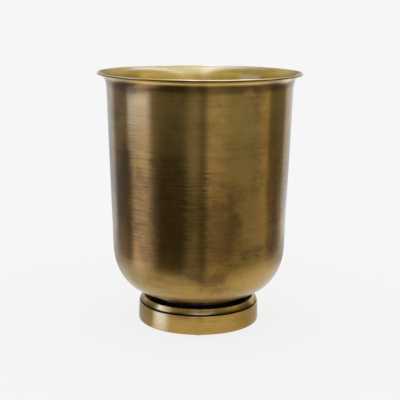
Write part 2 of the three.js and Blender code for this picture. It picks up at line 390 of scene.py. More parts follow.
def in_band(point, band, base=0.0):
    """The share of a band round the urn, easing to 0; bands are share, height over the base and reach."""
    share, height, reach = band
    return share * fall(abs(point.z - base - height), reach)


def lower(point, step):
    """1 up to a height, easing to 0 over it; steps are the height and the reach."""
    height, reach = step
    return fall(point.z - height, reach)


def higher(point, step):
    """1 from a height on, easing to 0 under it."""
    height, reach = step
    return fall(height - point.z, reach)


class Shader:
    """A node material, put together from small steps."""

    def __init__(self, name):
        self.material = bpy.data.materials.new(name)
        self.material.use_nodes = True
        self.tree = self.material.node_tree
        self.surface = self.tree.nodes["Principled BSDF"]

    def feed(self, socket, value):
        if isinstance(value, bpy.types.NodeSocket):
            self.tree.links.new(value, socket)
        else:
            socket.default_value = value

    def add(self, kind, inputs, **settings):
        node = self.tree.nodes.new(kind)
        for setting, value in settings.items():
            setattr(node, setting, value)
        for socket, value in inputs.items():
            self.feed(node.inputs[socket], value)
        return node

    def set(self, **inputs):
        """Feeds the surface's sockets, named with _ for each blank."""
        for socket, value in inputs.items():
            self.feed(self.surface.inputs[socket.replace("_", " ")], value)

    def math(self, operation, first, second=0.0):
        return self.add("ShaderNodeMath", {0: first, 1: second}, operation=operation).outputs[0]

    def mix(self, factor, first, second, mode="MIX"):
        node = self.add("ShaderNodeMix", {}, data_type="RGBA", blend_type=mode)
        for socket, value in ((0, factor), (6, first), (7, second)):
            self.feed(node.inputs[socket], value)
        return node.outputs[2]

    def ease(self, value, start, end, low=0.0, high=1.0):
        """Runs smoothly from low to high while the value goes from start to end."""
        inputs = {"Value": value, "From Min": start, "From Max": end, "To Min": low, "To Max": high}
        return self.add("ShaderNodeMapRange", inputs, interpolation_type="SMOOTHSTEP").outputs[0]

    def noise(self, vector, scale, detail=3.0, roughness=0.55, distortion=0.0):
        """Noise from 0 to 1, with the scale in grains per metre."""
        inputs = {
            "Vector": vector,
            "Scale": scale,
            "Detail": detail,
            "Roughness": roughness,
            "Distortion": distortion,
        }
        return self.add("ShaderNodeTexNoise", inputs).outputs["Fac"]

    def place(self):
        return self.add("ShaderNodeTexCoord", {}).outputs["Object"]

    def split(self, vector):
        return self.add("ShaderNodeSeparateXYZ", {0: vector}).outputs

    def join(self, x, y, z):
        return self.add("ShaderNodeCombineXYZ", {0: x, 1: y, 2: z}).outputs[0]

    def length(self, first, second):
        first_square = self.math("MULTIPLY", first, first)
        second_square = self.math("MULTIPLY", second, second)
        return self.math("SQRT", self.math("ADD", first_square, second_square))

    def attribute(self, name):
        return self.add("ShaderNodeAttribute", {}, attribute_name=name).outputs["Fac"]

    def vector(self, operation, inputs):
        return self.add("ShaderNodeVectorMath", inputs, operation=operation).outputs[0]

    def sum(self, *parts):
        """Adds up values, each with its share."""
        total = 0.0
        for value, share in parts:
            total = self.math("ADD", total, self.math("MULTIPLY", value, share))
        return total

    def product(self, *values):
        total = 1.0
        for value in values:
            total = self.math("MULTIPLY", total, value)
        return total

    def bump(self, height, strength, distance):
        inputs = {"Height": height, "Strength": strength, "Distance": distance}
        return self.add("ShaderNodeBump", inputs).outputs[0]


def brass(name, metal, brown, bright, browning, satin, coat, stippling, grain):
    """Antique brass: brushed round the urn's axis, browned in clouds, lacquered."""
    shader = Shader(name)
    place = shader.place()
    x, y, z = shader.split(place)
    radius = shader.length(x, y)
    across = shader.math("ADD", z, radius)

    def strokes(along, over, detail):
        """Noise drawn out round the axis, with strokes of the given length and width."""
        stretched = shader.math("MULTIPLY", across, along / over)
        return shader.noise(shader.join(x, y, stretched), 1 / along, detail)

    fine = strokes(14 * MM, 0.8 * MM, 1.0)
    hairs = strokes(24 * MM, 1.5 * MM, 2.0)
    lines = strokes(60 * MM, 1.3 * MM, 1.0)
    smears = strokes(60 * MM, 4.0 * MM, 2.0)
    bands = strokes(200 * MM, 10 * MM, 2.0)
    rubbed = shader.ease(shader.noise(place, 24.0, 2.0), 0.36, 0.64, 0.35, 1.0)
    cloud = shader.noise(place, 15.0, 4.0, 0.5, 0.5)
    mottle = shader.noise(place, 95.0, 6.0, 0.68, 0.3)
    specks = shader.noise(place, 520.0, 1.0)
    tint = shader.noise(place, 13.0, 2.0)
    ruddy = shader.noise(place, 34.0, 3.0)
    dots = shader.noise(place, 480.0, 2.0, 0.6)

    strength = shader.product(rubbed, grain, shader.attribute("brushed"))
    wear = shader.attribute("wear")
    clouded = shader.attribute("clouded")
    lean = shader.sum(
        (shader.attribute("browning"), 0.3),
        (cloud, 0.52),
        (mottle, 0.23),
        (bands, 0.19),
        (smears, 0.20),
        (shader.math("MULTIPLY", shader.math("SUBTRACT", mottle, 0.5), clouded), 0.35),
    )
    dotted = shader.math("MULTIPLY", shader.ease(clouded, 0.0, 1.0, 0.2, 1.0), stippling)
    stipple = shader.product(shader.ease(dots, 0.52, 0.61), shader.ease(lean, 0.60, 0.70), dotted)
    patina = shader.math("MAXIMUM", shader.ease(lean, 0.60, 0.89), stipple)
    patina = shader.product(patina, browning, shader.math("SUBTRACT", 1.0, wear))

    olive = [part * share for part, share in zip(metal, OLIVE_TINT)]
    colour = shader.mix(shader.ease(tint, 0.35, 0.65), (*metal, 1), (*olive, 1))
    colour = shader.mix(patina, colour, (*brown, 1))
    colour = shader.mix(shader.ease(ruddy, 0.5, 0.7), colour, (*RUDDY_TINT, 1), "MULTIPLY")
    colour = shader.mix(shader.attribute("blush"), colour, (*BLUSH_TINT, 1), "MULTIPLY")
    colour = shader.mix(wear, colour, (*bright, 1))
    shade = shader.product(
        shader.ease(fine, 0.3, 0.7, 0.92, 1.08),
        shader.ease(hairs, 0.3, 0.7, 0.82, 1.18),
        shader.ease(lines, 0.35, 0.65, 0.87, 1.13),
        shader.ease(smears, 0.35, 0.65, 0.86, 1.10),
        shader.ease(bands, 0.35, 0.65, 0.92, 1.07),
        shader.ease(specks, 0.3, 0.44, 0.95, 1.0),
    )
    colour = shader.mix(strength, colour, shader.join(shade, shade, shade), "MULTIPLY")
    # this mark darkens towards near-black: the foot's dark seam and recess, and painted shade under the
    # lip and up the collar
    grime_and_shade = shader.attribute("grime_and_shade")
    colour = shader.mix(grime_and_shade, colour, (*GRIME_AND_SHADE, 1))

    rougher = shader.sum(
        (patina, 0.05),
        (hairs, -0.06),
        (fine, -0.04),
        (wear, -0.12),
        (grime_and_shade, 0.3),
    )
    rough = shader.math("ADD", satin, rougher)

    # each brush stroke tips the surface a little sideways, round the axis
    sideways = shader.join(shader.math("MULTIPLY", y, -1.0), x, 0.0)
    sideways = shader.vector("NORMALIZE", {0: sideways})
    waver = shader.product(shader.math("SUBTRACT", hairs, 0.5), strength, STROKE_WAVER)
    tipped = shader.vector("SCALE", {0: sideways, "Scale": waver})
    facing = shader.add("ShaderNodeNewGeometry", {}).outputs["Normal"]
    facing = shader.vector("NORMALIZE", {0: shader.vector("ADD", {0: facing, 1: tipped})})

    shader.set(
        Base_Color=colour,
        Metallic=1.0,
        Roughness=rough,
        Anisotropic=BRUSHING,
        Anisotropic_Rotation=BRUSHED_ROUND,
        Tangent=shader.add("ShaderNodeTangent", {}, direction_type="RADIAL", axis="Z").outputs[0],
        Coat_Weight=shader.math("MULTIPLY", shader.math("SUBTRACT", 1.0, grime_and_shade), coat),
        Coat_Roughness=LACQUER_ROUGHNESS,
        Normal=facing,
    )
    return shader.material


def black_gloss():
    """Black gloss paint with a little orange peel and dust."""
    shader = Shader("black_gloss")
    place = shader.place()
    peel = shader.noise(place, 700.0, 2.0)
    dust = shader.ease(shader.noise(place, 90.0, 6.0, 0.7), 0.5, 0.75)
    shader.set(
        Base_Color=shader.mix(dust, (*BLACK_PAINT, 1), (*BLACK_DUST, 1)),
        Roughness=shader.math("ADD", 0.15, shader.math("MULTIPLY", dust, 0.16)),
        Specular_IOR_Level=0.5,
        Specular_Tint=(*BLACK_SHEEN, 1),
        Normal=shader.bump(peel, 0.03, 0.05 * MM),
    )
    return shader.material


def zinc():
    """Zinc-plated steel, dull and faintly mottled."""
    shader = Shader("zinc_plate")
    place = shader.place()
    spangle = shader.noise(place, 260.0, 4.0, 0.6)
    drift = shader.noise(place, 60.0, 2.0)
    colour = shader.mix(shader.ease(drift, 0.35, 0.65), (*ZINC, 1), (*ZINC_WARM, 1))
    shade = shader.ease(spangle, 0.3, 0.7, 0.82, 1.08)
    shader.set(
        Base_Color=shader.mix(1.0, colour, shader.join(shade, shade, shade), "MULTIPLY"),
        Metallic=1.0,
        Roughness=shader.ease(spangle, 0.3, 0.7, 0.42, 0.30),
        Normal=shader.bump(spangle, 0.1, 0.05 * MM),
    )
    return shader.material


def rubber():
    """Matte black rubber with a fine moulded grain."""
    shader = Shader("rubber")
    place = shader.place()
    grain = shader.noise(place, 1500.0, 3.0, 0.6)
    bloom = shader.noise(place, 140.0, 4.0)
    shader.set(
        Base_Color=shader.mix(shader.ease(bloom, 0.4, 0.7), (*RUBBER, 1), (*RUBBER_BLOOM, 1)),
        Roughness=shader.ease(bloom, 0.3, 0.7, 0.70, 0.84),
        Normal=shader.bump(grain, 0.3, 0.08 * MM),
    )
    return shader.material


brass_outside = brass(
    "antique_brass", METAL, BROWN, BRIGHT,
    browning=0.85, satin=0.30, coat=0.5, stippling=0.6, grain=1.0
)
brass_inside = brass(
    "antique_brass_inside", METAL_INSIDE, BROWN_INSIDE, BRIGHT,
    browning=0.5, satin=0.30, coat=0.06, stippling=0.0, grain=0.6
)
brass_foot = brass(
    "antique_brass_foot", METAL_FOOT, BROWN_FOOT, BRIGHT_FOOT,
    browning=0.95, satin=0.23, coat=0.15, stippling=0.1, grain=1.0
)
brass_collar = brass(
    "antique_brass_collar", METAL_COLLAR, BROWN_COLLAR, BRIGHT_FOOT,
    browning=0.95, satin=0.23, coat=0.15, stippling=0.1, grain=1.0
)
black = black_gloss()
steel = zinc()
dark_rubber = rubber()


# Bowl

bowl_low, bowl_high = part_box("bowl")


def lip_offset():
    """From the flare's centre to the lip's centre, past the flare's end on the middle of the sheet."""
    end = math.pi - WALL_LEAN - FLARE_TURN
    middle = FLARE_RADIUS + SHEET / 2
    overrun = math.sqrt(LIP_RADIUS ** 2 - (SHEET / 2) ** 2)
    across = middle * math.cos(end) + overrun * math.sin(end)
    return across, middle * math.sin(end) - overrun * math.cos(end)


def onset_offset():
    """From the flare's centre to the centre of its onset, so that both arcs meet smoothly."""
    meeting = math.pi - WALL_LEAN - FLARE_ONSET_TURN
    apart = FLARE_RADIUS - FLARE_ONSET_RADIUS
    return apart * math.cos(meeting), apart * math.sin(meeting)


def flare_centre():
    corner = math.atan(math.tan(WALL_LEAN) * CORNER_RISE / CORNER_RUN)
    foot_radius = FLOOR_RADIUS + CORNER_RUN * math.cos(corner)
    foot_height = bowl_low.z + CORNER_RISE - CORNER_RISE * math.sin(corner)
    centre_height = bowl_high.z - LIP_RADIUS - lip_offset()[1]
    across, upward = onset_offset()
    top_height = centre_height + upward + FLARE_ONSET_RADIUS * math.sin(WALL_LEAN)
    top_radius = foot_radius + (top_height - foot_height) * math.tan(WALL_LEAN)
    return top_radius + FLARE_ONSET_RADIUS * math.cos(WALL_LEAN) - across, centre_height


def bowl_side(inset):
    """One side of the bowl's sheet, from the flat floor to the lip."""
    run = CORNER_RUN - inset
    rise = CORNER_RISE - inset
    centre = (FLOOR_RADIUS, bowl_low.z + CORNER_RISE)
    corner_end = -math.atan(math.tan(WALL_LEAN) * rise / run)
    corner = arc(centre, run, rise, -QUARTER, corner_end, CORNER_STEPS)
    start = math.pi - WALL_LEAN
    meeting = start - FLARE_ONSET_TURN
    centre = flare_centre()
    onset_centre = tuple(a + b for a, b in zip(centre, onset_offset()))
    onset = round_arc(onset_centre, FLARE_ONSET_RADIUS + inset, start, meeting, ONSET_STEPS)
    flare = round_arc(centre, FLARE_RADIUS + inset, meeting, start - FLARE_TURN, FLARE_STEPS)
    return [*corner, *between(corner[-1], onset[0], WALL_STEPS), *onset, *flare[1:]]


flare_middle = flare_centre()
lip_middle = tuple(a + b for a, b in zip(flare_middle, lip_offset()))
lip_heading = QUARTER - WALL_LEAN - FLARE_TURN
lip_open = math.asin(SHEET / 2 / LIP_RADIUS)
lip_start = lip_heading + math.pi + lip_open
lip_end = lip_heading + 3 * math.pi - lip_open
lip = round_arc(lip_middle, LIP_RADIUS, lip_start, lip_end, LIP_STEPS)
outer_side = [(BOLT_HOLE, bowl_low.z), *bowl_side(0), *lip[1:-1]]
inner_side = [*reversed(bowl_side(SHEET)), (BOLT_HOLE, bowl_low.z + SHEET)]
bowl = skin("bowl_spun", turned([*outer_side, *inner_side], SPUN_FACETS))


def bowl_wear(point):
    """Worn bright on top of the lip, outside on the flare under it, and in places further down."""
    away = math.hypot(point.xy.length - lip_middle[0], point.z - lip_middle[1])
    on_lip = fall(max(away - LIP_RADIUS, 0.0), LIP_WEAR_REACH)
    upper = fall(lip_middle[1] + LIP_WEAR_RISE - point.z, LIP_WEAR_EASE)
    from_flare = math.hypot(point.xy.length - flare_middle[0], point.z - flare_middle[1])
    if from_flare > FLARE_RADIUS + SHEET / 2 or point.z < flare_middle[1]:
        on_curve = in_band(point, CURVE_WEAR) * near(point, CURVE_WORN)
        under_onset = in_band(point, ONSET_WEAR) * near(point, ONSET_WORN)
        return max(on_lip * upper, on_curve, under_onset)
    on_flare = in_band(point, FLARE_WEAR, flare_middle[1])
    on_flare *= 1 - FLARE_WEAR_LOST * near(point, FLARE_BROWNED)
    return max(on_lip * upper, on_flare * (1 - on_lip))


def under_lip(point):
    return point.z < lip_middle[1] and point.xy.length > lip_middle[0] - 2 * LIP_RADIUS


def bowl_painted_shadow(point):
    """Painted shadow under the lip."""
    return LIP_PAINTED_SHADOW * under_lip(point)


def bowl_browning(point):
    """Fully browned under the lip and on the underside of the floor, which is painted shade; browned on
    the flare, down the wall and in patches.
    """
    # under the lip and under the floor the full browning is painted shade
    if under_lip(point) or point.z < bowl_low.z + SHEET / 2:
        return 1.0
    around = math.atan2(point.x, -point.y)
    edge = BROWN_EDGE - BROWN_EDGE_DIP * fall(abs(around - DIP_MIDDLE), DIP_REACH)
    amount = BROWN_WALL * fall(edge - point.z, BROWN_EDGE_EASE)
    amount += in_band(point, WALL_BROWNING)
    amount += in_band(point, CURVE_BROWNING) * (1 - CURVE_BROWNING_LOST * near(point, CURVE_WORN))
    amount += in_band(point, FLARE_BROWNING, flare_middle[1])
    for degrees, height, half_width, half_height, share in PATCHES:
        turn = math.remainder(around - math.radians(degrees), 2 * math.pi)
        sideways = turn * point.xy.length / (half_width * MM)
        upright = (point.z - height * MM) / (half_height * MM)
        amount += share * fall(math.hypot(sideways, upright), 1.0)
    return amount


def bowl_blush(point):
    """Redder down the wall, a little less so on the lower curve."""
    amount = BLUSH + BLUSH_WARM * near(point, WARM_BROWN)
    return amount * (lower(point, BLUSH_BELOW) - BLUSH_LOST * lower(point, BLUSH_LOST_BELOW))


def bowl_clouded(point):
    """Clouded with patina on the lower wall and curve, most in some places."""
    on_curve = CURVE_CLOUDED * lower(point, CURVE_CLOUDED_BELOW)
    return lower(point, CLOUDED_BELOW) * max(near(point, CLOUDED), on_curve)


def bowl_brushed(point):
    """Brushing shows less under the flare, on the lower curve and where the wall is clouded."""
    under_flare = UNBRUSHED_TOP * higher(point, UNBRUSHED_ABOVE)
    on_curve = UNBRUSHED_CURVE * lower(point, UNBRUSHED_BELOW)
    return (1 - under_flare) * (1 - on_curve) * (1 - UNBRUSHED_CLOUD * bowl_clouded(point))


mark(bowl, "wear", bowl_wear)
# on the bowl this mark is a painted shadow under the lip
mark(bowl, "grime_and_shade", bowl_painted_shadow)
mark(bowl, "brushed", bowl_brushed)
mark(bowl, "clouded", bowl_clouded)
mark(bowl, "browning", bowl_browning)
mark(bowl, "blush", bowl_blush)
dress(bowl, "bowl", "antique_brass", brass_outside, brass_inside)
for face in bowl.data.polygons:
    middle = face.center
    inward = face.normal.xy.dot(middle.xy) < 0
    upward = face.normal.z > INSIDE_TILT
    if (inward or upward) and middle.xy.length < lip_middle[0] - LIP_RADIUS:
        face.material_index = 1


# Neck

neck_low, neck_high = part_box("neck_spacer")
neck_radius = neck_high.x
shoulder_centre = (neck_radius - NECK_SHOULDER[0], neck_high.z - NECK_SHOULDER[1])
neck_outline = [
    (BOLT_HOLE, neck_low.z),
    *round_arc((neck_radius - NECK_EDGE, neck_low.z + NECK_EDGE), NECK_EDGE, -QUARTER, 0, EDGE_STEPS),
    *arc(shoulder_centre, *NECK_SHOULDER, 0, QUARTER, 3 * EDGE_STEPS),
    (BOLT_HOLE, neck_high.z),
]
neck = skin("neck_turned", turned(neck_outline, SPUN_FACETS))
dress(neck, "neck_spacer", "black_neck", black)


# Foot

cap_low, cap_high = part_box("foot_cap")
band_low, band_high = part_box("foot_band")
deck_top = neck_low.z - DECK_GAP
seam_top = band_high.z + SEAM_HEIGHT
recess_radius = neck_radius + RECESS_GAP
fold_centre = (recess_radius + COLLAR_FOLD, cap_high.z - COLLAR_FOLD)
slope_top = round_arc(fold_centre, COLLAR_FOLD, COLLAR_LEAN, COLLAR_LEAN, 1)[0]
collar_radius = slope_top[0] + (slope_top[1] - seam_top) * math.tan(COLLAR_LEAN)
skirt_radius = collar_radius - COLLAR_OVERHANG
skirt_inner = skirt_radius - SHEET
wall_back = recess_radius + SHEET
edge_centre = (collar_radius - COLLAR_EDGE, seam_top + COLLAR_EDGE)
fillet_centre = (recess_radius - RECESS_FILLET, deck_top + RECESS_FILLET)
slope_back = SHEET / math.cos(COLLAR_LEAN)
back_top = slope_top[1] - (wall_back - slope_top[0] + slope_back) / math.tan(COLLAR_LEAN)
back_bottom = slope_top[1] - (skirt_inner - slope_top[0] + slope_back) / math.tan(COLLAR_LEAN)
collar_bottom = round_arc(edge_centre, COLLAR_EDGE, -QUARTER, COLLAR_LEAN, EDGE_STEPS)
cap_outline = [
    (skirt_inner, cap_low.z),
    (skirt_radius, cap_low.z),
    (skirt_radius, seam_top),
    *collar_bottom,
    *between(collar_bottom[-1], slope_top, SLOPE_STEPS),
    *round_arc(fold_centre, COLLAR_FOLD, COLLAR_LEAN, math.pi, 2 * EDGE_STEPS),
    *round_arc(fillet_centre, RECESS_FILLET, 0, -QUARTER, EDGE_STEPS),
    (BOLT_HOLE, deck_top),
    (BOLT_HOLE, deck_top - SHEET),
    *round_arc(fillet_centre, RECESS_FILLET + SHEET, -QUARTER, 0, EDGE_STEPS),
    (wall_back, back_top),
    (skirt_inner, back_bottom),
]
cap = skin("foot_cap_spun", turned(cap_outline, SPUN_FACETS))


def cap_wear(point):
    """Worn bright along the collar's top edge, here and there on its slope and bottom edge; the bright
    place on the slope at -36 degrees lies under the softbox's reflection and is partly a painted
    highlight.
    """
    top = fall(abs(point.z - slope_top[1]), COLLAR_TOP_REACH)
    bottom = fall(abs(point.z - seam_top - COLLAR_EDGE), COLLAR_BOTTOM_REACH)
    clean = near(point, COLLAR_CLEAN)
    on_top = top * (COLLAR_TOP_WEAR + COLLAR_TOP_CLEAN * clean)
    on_slope = COLLAR_SLOPE_WEAR + COLLAR_SLOPE_WEAR_AND_HIGHLIGHT * near(point, COLLAR_WEAR_AND_HIGHLIGHT)
    return max(on_top, COLLAR_BOTTOM_WEAR * bottom * clean, on_slope)


# less browned in the worn places; the one at -36 degrees, under the softbox's reflection, is partly a
# painted highlight
def cap_browning(point):
    return 1.0 - COLLAR_BROWNING_LOST * near(point, COLLAR_WORN_AND_HIGHLIGHT)


def cap_grime_and_shade(point):
    """Black in the recess round the neck and dark in the seam under the collar, with a painted shadow
    reaching up the collar from the seam, furthest where the collar is neither clean nor worn.
    """
    in_recess = point.xy.length < recess_radius + COLLAR_FOLD * FOLD_GRIMY
    clean = near(point, COLLAR_CLEAN)
    worn = near(point, COLLAR_WORN_AND_HIGHLIGHT)
    reach = SHADOW_CREEP_LEAST + SHADOW_CREEP_WORN * worn + SHADOW_CREEP_MOST * (1 - max(clean, worn))
    above_seam = point.z - seam_top
    return max(float(in_recess), fall(above_seam, SEAM_GRIME_REACH), SHADOW_CREEP * fall(above_seam, reach))


mark(cap, "brushed", lambda point: FOOT_BRUSHED)
mark(cap, "grime_and_shade", cap_grime_and_shade)
mark(cap, "wear", cap_wear)
mark(cap, "browning", cap_browning)
dress(cap, "foot_cap", "antique_brass", brass_collar)

band_top_radius = skirt_radius + SLIDE_GAP + SHEET
band_radius = band_top_radius + BAND_DRAFT
flange_inner = band_radius - FLANGE_WIDTH
flange_top = band_low.z + SHEET
band_outline = [
    (flange_inner, band_low.z),
    *round_arc((band_radius - BAND_EDGE, band_low.z + BAND_EDGE), BAND_EDGE, -QUARTER, 0, EDGE_STEPS),
    *round_arc((band_top_radius - BAND_EDGE, band_high.z - BAND_EDGE), BAND_EDGE, 0, QUARTER, EDGE_STEPS),
    (band_top_radius - SHEET, band_high.z),
    (band_radius - SHEET, flange_top),
    (flange_inner, flange_top),
]
band = skin("foot_band_rolled", turned(band_outline, SPUN_FACETS))


def band_outside(point):
    return point.xy.length > band_top_radius - SHEET / 2


def band_wear(point):
    """Worn along the top edge."""
    return BAND_WEAR * fall(abs(point.z - band_high.z), BAND_WEAR_REACH) * band_outside(point)


def band_browning(point):
    """Browned inside, and outside in places towards the bottom."""
    if not band_outside(point):
        return 1.0
    low_down = fall(point.z - band_low.z, BAND_BROWNING_REACH)
    return BAND_BROWNING_LEAST + BAND_BROWNING * low_down * near(point, BAND_BROWNED)


mark(band, "brushed", lambda point: FOOT_BRUSHED)
mark(band, "wear", band_wear)
mark(band, "browning", band_browning)
dress(band, "foot_band", "antique_brass", brass_foot)

for index in range(1, PAD_COUNT + 1):
    node = f"foot_pad_{index}"
    low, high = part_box(node)
    middle = (low + high) / 2
    pad_radius = (high.x - low.x) / 2
    pad_outline = [
        (0.0, low.z),
        *round_arc((pad_radius - PAD_EDGE, low.z + PAD_EDGE), PAD_EDGE, -QUARTER, 0, EDGE_STEPS),
        *round_arc((pad_radius - PAD_EDGE, high.z - PAD_EDGE), PAD_EDGE, 0, QUARTER, EDGE_STEPS),
        (0.0, high.z),
    ]
    pad = skin(f"foot_pad_disc_{index}", turned(pad_outline, PAD_FACETS, middle), closed=False)
    dress(pad, node, "rubber", dark_rubber)


# Fastener

def ring_piece(name, node, slot, edge, material):
    low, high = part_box(node)
    outline = rounded_ring(BOLT_HOLE, high.x, low.z, high.z, edge)
    dress(skin(name, turned(outline, TURNED_FACETS)), node, slot, material)


ring_piece("head_seal_ring", "head_seal", "rubber", SEAL_EDGE, dark_rubber)
ring_piece("head_washer_ring", "head_washer", "zinc_steel", WASHER_EDGE, steel)
ring_piece("deck_washer_ring", "deck_washer", "zinc_steel", WASHER_EDGE, steel)

lock_low, lock_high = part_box("lock_washer")
lock_section = rounded_ring(BOLT_HOLE, lock_high.y, lock_low.z, lock_high.z, WASHER_EDGE)
lock_rings = []
for step in range(LOCK_STEPS + 1):
    angle = LOCK_SLIT / 2 + (2 * math.pi - LOCK_SLIT) * step / LOCK_STEPS
    lock_rings.append([(r * math.cos(angle), r * math.sin(angle), z) for r, z in lock_section])
lock_washer = skin("lock_washer_split", lock_rings, closed=False, capped=True)
dress(lock_washer, "lock_washer", "zinc_steel", steel)


def hex_ring(flat, height):
    """A hexagon of points with corners on the X axis; height is a number or goes by the radius."""
    ring = []
    for facet in range(HEX_FACETS):
        angle = 2 * math.pi * facet / HEX_FACETS
        radius = flat / math.cos(angle % HEX_TURN - HEX_TURN / 2)
        level = height(radius) if callable(height) else height
        ring.append((radius * math.cos(angle), radius * math.sin(angle), level))
    return ring


def round_ring(radius, height):
    return turned([(radius, height)], HEX_FACETS)[0]


nut_low, nut_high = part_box("clamp_nut")
nut_flat = nut_high.y


def nut_lower(radius):
    return nut_low.z + (radius - nut_flat) * math.tan(HEX_SLOPE)


def nut_upper(radius):
    return nut_high.z - (radius - nut_flat) * math.tan(HEX_SLOPE)


nut_rings = [
    round_ring(NUT_BORE, nut_low.z + BORE_CHAMFER),
    round_ring(NUT_BORE + BORE_CHAMFER, nut_low.z),
    round_ring(nut_flat * HEX_FACE, nut_low.z),
    hex_ring(nut_flat, nut_lower),
    hex_ring(nut_flat, nut_upper),
    round_ring(nut_flat * HEX_FACE, nut_high.z),
    round_ring(NUT_BORE + BORE_CHAMFER, nut_high.z),
    round_ring(NUT_BORE, nut_high.z - BORE_CHAMFER),
]
nut = skin("clamp_nut_hex", nut_rings)
dress(nut, "clamp_nut", "zinc_steel", steel)

bolt_low, bolt_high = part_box("clamp_bolt")
head_bottom = bolt_high.z - HEAD_HEIGHT
head_flat = bolt_high.y


def head_upper(radius):
    return bolt_high.z - (radius - head_flat) * math.tan(HEX_SLOPE)


def thread_ring(height):
    """A ring across the thread, whose crest climbs one pitch per turn and runs out at both ends."""
    ring = []
    from_tip = height - bolt_low.z
    depth = THREAD_DEPTH * (1 - fall(THREAD_LENGTH - from_tip, THREAD_FADE))
    tip = THREAD_RUNOUT * fall(from_tip, THREAD_RUNOUT)
    for facet in range(HEX_FACETS):
        turn = facet / HEX_FACETS
        phase = (height / THREAD_PITCH - turn) % 1.0
        radius = min(BOLT_RADIUS - depth * abs(2 * phase - 1), BOLT_RADIUS - tip)
        angle = 2 * math.pi * turn
        ring.append((radius * math.cos(angle), radius * math.sin(angle), height))
    return ring


bolt_rings = [round_ring(0.0, bolt_low.z)]
thread_count = int(THREAD_LENGTH / THREAD_PITCH * THREAD_STEPS)
for step in range(thread_count + 1):
    bolt_rings.append(thread_ring(bolt_low.z + THREAD_LENGTH * step / thread_count))
bolt_rings += [
    round_ring(BOLT_RADIUS, head_bottom),
    round_ring(head_flat * HEX_FACE, head_bottom),
    hex_ring(head_flat, head_bottom + HEAD_EDGE),
    hex_ring(head_flat, head_upper),
    round_ring(head_flat * HEAD_FACE, bolt_high.z),
    round_ring(0.0, bolt_high.z),
]
bolt = skin("clamp_bolt_threaded", bolt_rings, closed=False)
dress(bolt, "clamp_bolt", "zinc_steel", steel)


# Camera

camera_data = bpy.data.cameras.new("camera")
camera_data.sensor_width = SENSOR_WIDTH
camera_data.lens = FOCAL_PIXELS / PHOTO_WIDTH * SENSOR_WIDTH
camera_data.shift_x = (PHOTO_WIDTH / 2 - AXIS_PIXEL) / PHOTO_WIDTH
camera = bpy.data.objects.new("camera", camera_data)
bpy.context.scene.collection.objects.link(camera)
stand = Matrix.Translation(Vector((0.0, -CAMERA_DISTANCE, CAMERA_HEIGHT)))
tilt = Matrix.Rotation(QUARTER - CAMERA_PITCH, 4, "X")
roll = Matrix.Rotation(CAMERA_ROLL, 4, "Z")
camera.matrix_world = stand @ tilt @ roll
bpy.context.scene.camera = camera


# Stage: pale floor, even white surroundings, and a tent of panels that only reflections see

def seen_rays(shader):
    """1 for the rays that show a background, to the camera or in a reflection or through glass."""
    path = shader.add("ShaderNodeLightPath", {})
    mirrored = shader.math("MAXIMUM", path.outputs["Is Glossy Ray"], path.outputs["Is Transmission Ray"])
    return shader.math("MAXIMUM", path.outputs["Is Camera Ray"], mirrored), mirrored


floor_mesh = bpy.data.meshes.new("floor")
half = FLOOR_SIZE / 2
floor_corners = [(-half, -half, 0), (half, -half, 0), (half, half, 0), (-half, half, 0)]
floor_mesh.from_pydata(floor_corners, [], [(0, 1, 2, 3)])
floor = bpy.data.objects.new("floor", floor_mesh)
bpy.context.scene.collection.objects.link(floor)
floor_paint = Shader("floor_paint")
floor_paint.set(Base_Color=(FLOOR_TONE, FLOOR_TONE, FLOOR_TONE, 1), Roughness=1.0, Specular_IOR_Level=0.0)
seen, mirrored = seen_rays(floor_paint)
even_share = floor_paint.math("MAXIMUM", floor_paint.math("MULTIPLY", seen, FLOOR_EVENNESS), mirrored)
even = floor_paint.add("ShaderNodeEmission", {"Color": (1, 1, 1, 1), "Strength": FLOOR_TONE})
floor_mix = floor_paint.add("ShaderNodeMixShader", {0: even_share, 1: floor_paint.surface.outputs[0]})
floor_paint.feed(floor_mix.inputs[2], even.outputs[0])
below = floor_paint.add("ShaderNodeNewGeometry", {}).outputs["Backfacing"]
clear = floor_paint.add("ShaderNodeBsdfTransparent", {})
sides = {0: below, 1: floor_mix.outputs[0], 2: clear.outputs[0]}
one_sided = floor_paint.add("ShaderNodeMixShader", sides)
floor_paint.feed(floor_paint.tree.nodes["Material Output"].inputs["Surface"], one_sided.outputs[0])
floor_paint.material.cycles.emission_sampling = "NONE"
floor_mesh.materials.append(floor_paint.material)
floor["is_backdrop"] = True


class Surroundings(Shader):
    """The world's node tree, with the same small steps."""

    def __init__(self, name):
        self.world = bpy.data.worlds.new(name)
        self.world.use_nodes = True
        self.tree = self.world.node_tree


sky = Surroundings("surroundings")
bpy.context.scene.world = sky.world
sky_level = sky.math("MULTIPLY_ADD", seen_rays(sky)[0], FLOOR_TONE - 1.0)
sky_level.node.inputs[2].default_value = 1.0
sky.feed(sky.tree.nodes["Background"].inputs["Color"], (1, 1, 1, 1))
sky.feed(sky.tree.nodes["Background"].inputs["Strength"], sky_level)

